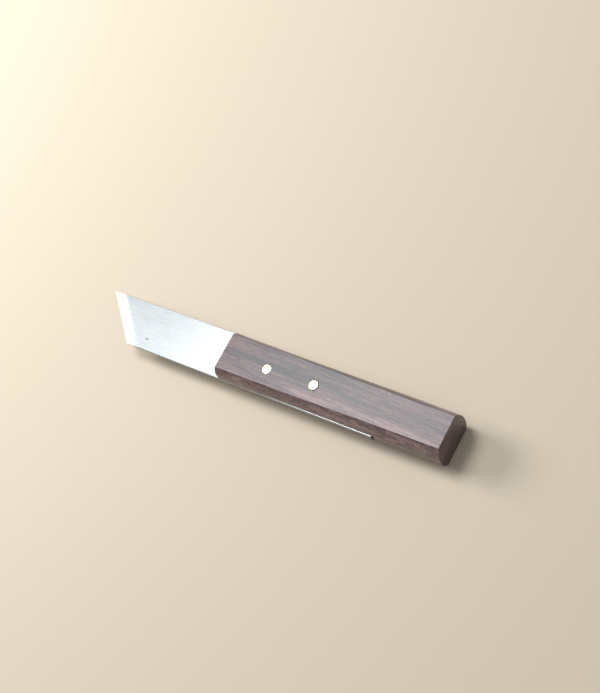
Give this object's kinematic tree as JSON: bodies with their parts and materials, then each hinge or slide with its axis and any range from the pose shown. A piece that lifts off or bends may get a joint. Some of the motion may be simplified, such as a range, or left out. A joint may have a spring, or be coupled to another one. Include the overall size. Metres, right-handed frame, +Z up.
{
  "type": "marking knife",
  "caption": "Skew-tipped marking knife: flat steel blade honed above and bevelled beneath, its full-width tang set in a sawn kerf and pinned through a faceted hardwood handle.",
  "frame": {"origin": "centre of the handle's resting flat, so the knife lies on Z = 0", "axes": "+X along the knife from the tip to the butt; +Z up, out of the blade's honed face; +Y to the side that carries the tip"},
  "size_m": [0.1653, 0.019, 0.0127],
  "materials": {
    "blade_steel": "surface-ground tool steel, finely brushed along its length, with a bright honed facet along the edge",
    "handle_wood": "dark rosewood-like hardwood, planed and lightly oiled, satin",
    "pin_brass": "brass rod, filed and sanded flush with the flats"
  },
  "bodies": {
    "root": {"blade": "blade_steel", "handle": "handle_wood", "pin_front": "pin_brass", "pin_rear": "pin_brass"}
  },
  "joints": []
}
